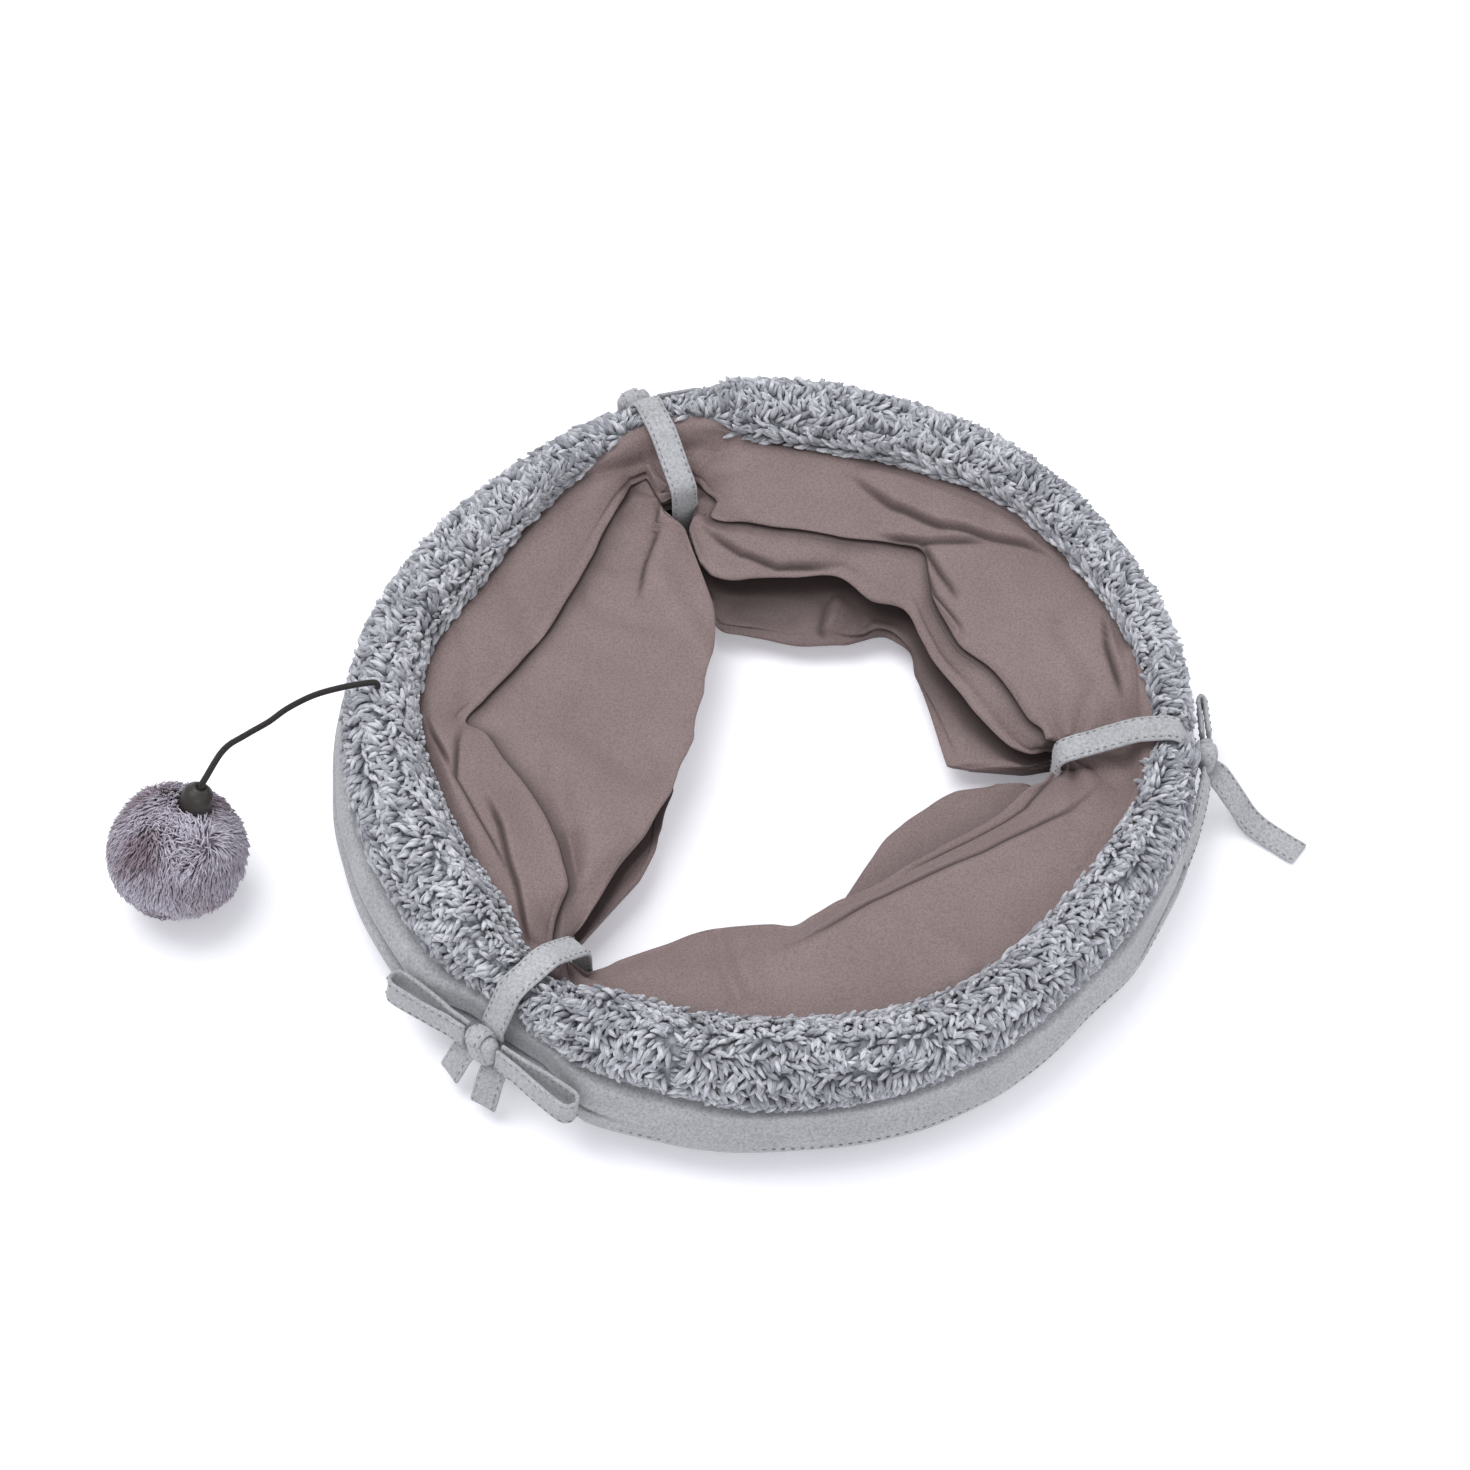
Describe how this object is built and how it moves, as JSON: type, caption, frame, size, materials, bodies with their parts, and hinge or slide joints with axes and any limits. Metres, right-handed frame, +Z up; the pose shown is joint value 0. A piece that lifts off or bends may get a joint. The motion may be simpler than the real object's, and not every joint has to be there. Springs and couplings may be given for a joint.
{
  "type": "collapsible cat tunnel",
  "caption": "Soft spiral-wire cat tunnel pressed flat into a ring, with a fleece collar, folded lining, knotted straps and a plush ball on a cord.",
  "frame": {"origin": "on the floor under the middle of the whole object's box, which lies 17.2 mm left and 3.3 mm behind of the ring's centre", "axes": "+Z up through the mouth, +X towards the long tie end, -X towards the hanging ball, -Y towards the viewer of the picture"},
  "size_m": [0.3913, 0.2968, 0.0563],
  "materials": {
    "fleece": "curly sherpa pile, mottled grey and white",
    "grey_suede": "matt brushed suede cloth",
    "taupe_microfibre": "smooth soft lining with a faint sheen",
    "binding_tape": "woven tape",
    "spring_steel": "bare drawn wire",
    "dark_elastic": "round braided elastic",
    "brown_bead": "dark brown moulded cord end",
    "mauve_plush": "long mauve-grey plush",
    "fibre_filling": "white polyester filling"
  },
  "bodies": {
    "bundle": {"lower_hem": "grey_suede", "outer_cover": "grey_suede", "lining": "taupe_microfibre", "coil_spring": "spring_steel", "wire_sleeve_lower": "binding_tape", "wire_sleeve_upper": "binding_tape", "coil_crimp_lower": "spring_steel", "right_tie_band": "grey_suede", "right_tie_knot": "grey_suede", "back_tie_band": "grey_suede", "back_tie_knot": "grey_suede", "front_tie_band": "grey_suede", "front_tie_knot": "grey_suede"},
    "top_mouth": {"fleece_collar": "fleece", "coil_crimp_upper": "spring_steel"},
    "toy_line": {"toy_cord": "dark_elastic"},
    "toy_ball": {"ball_cover": "mauve_plush", "ball_filling": "fibre_filling", "cord_bead": "brown_bead"},
    "right_tie_bow": {"right_tie_bow": "grey_suede"},
    "back_tie_bow_left": {"back_tie_bow_left": "grey_suede"},
    "back_tie_bow_right": {"back_tie_bow_right": "grey_suede"},
    "front_tie_bow_left": {"front_tie_bow_left": "grey_suede"},
    "front_tie_bow_right": {"front_tie_bow_right": "grey_suede"},
    "right_tie_tail_short": {"right_tie_tail_short": "grey_suede"},
    "right_tie_tail_long": {"right_tie_tail_long": "grey_suede"},
    "back_tie_tail_left": {"back_tie_tail_left": "grey_suede"},
    "back_tie_tail_right": {"back_tie_tail_right": "grey_suede"},
    "front_tie_tail_left": {"front_tie_tail_left": "grey_suede"},
    "front_tie_tail_right": {"front_tie_tail_right": "grey_suede"}
  },
  "joints": [
    {"name": "mouth_press", "type": "slide", "parent": "bundle", "child": "top_mouth", "axis": [0, 0, 1], "range_m": [-0.004, 0], "stiffness_N_per_m": 11, "springref_m": 0.45, "deforming": ["coil_spring", "wire_sleeve_lower", "wire_sleeve_upper", "outer_cover", "lining"]},
    {"name": "cord_swing", "type": "hinge", "parent": "bundle", "child": "toy_line", "pos_m": [-0.1084, -0.002, 0.0519], "axis": [0, 0, 1], "range_deg": [-65, 30]},
    {"name": "ball_twist", "type": "hinge", "parent": "toy_line", "child": "toy_ball", "pos_m": [-0.1653, -0.0401, 0.0425], "axis": [0.3601, 0.3001, 0.8833], "continuous": true},
    {"name": "right_tie_bow_swing", "type": "hinge", "parent": "bundle", "child": "right_tie_bow", "pos_m": [0.1617, -0.0111, 0.0252], "axis": [0, 0, 1], "range_deg": [-35, 0]},
    {"name": "back_tie_bow_left_swing", "type": "hinge", "parent": "bundle", "child": "back_tie_bow_left", "pos_m": [-0.0286, 0.1343, 0.0252], "axis": [0, 0, 1], "range_deg": [-35, 0]},
    {"name": "back_tie_bow_right_swing", "type": "hinge", "parent": "bundle", "child": "back_tie_bow_right", "pos_m": [-0.0286, 0.1343, 0.0252], "axis": [0, 0, 1], "range_deg": [0, 35]},
    {"name": "front_tie_bow_left_swing", "type": "hinge", "parent": "bundle", "child": "front_tie_bow_left", "pos_m": [-0.0716, -0.1178, 0.0252], "axis": [0, 0, 1], "range_deg": [0, 35]},
    {"name": "front_tie_bow_right_swing", "type": "hinge", "parent": "bundle", "child": "front_tie_bow_right", "pos_m": [-0.0716, -0.1178, 0.0252], "axis": [0, 0, 1], "range_deg": [-35, 0]},
    {"name": "right_tie_tail_short_swing", "type": "hinge", "parent": "bundle", "child": "right_tie_tail_short", "pos_m": [0.1617, -0.0111, 0.0252], "axis": [0, 0, 1], "range_deg": [0, 35]},
    {"name": "right_tie_tail_long_swing", "type": "hinge", "parent": "bundle", "child": "right_tie_tail_long", "pos_m": [0.1617, -0.0111, 0.0252], "axis": [0, 0, 1], "range_deg": [-12, 40]},
    {"name": "back_tie_tail_left_swing", "type": "hinge", "parent": "bundle", "child": "back_tie_tail_left", "pos_m": [-0.0286, 0.1343, 0.0252], "axis": [0, 0, 1], "range_deg": [0, 20]},
    {"name": "back_tie_tail_right_swing", "type": "hinge", "parent": "bundle", "child": "back_tie_tail_right", "pos_m": [-0.0286, 0.1343, 0.0252], "axis": [0, 0, 1], "range_deg": [-20, 0]},
    {"name": "front_tie_tail_left_swing", "type": "hinge", "parent": "bundle", "child": "front_tie_tail_left", "pos_m": [-0.0716, -0.1178, 0.0252], "axis": [0, 0, 1], "range_deg": [-20, 0]},
    {"name": "front_tie_tail_right_swing", "type": "hinge", "parent": "bundle", "child": "front_tie_tail_right", "pos_m": [-0.0716, -0.1178, 0.0252], "axis": [0, 0, 1], "range_deg": [0, 20]}
  ]
}
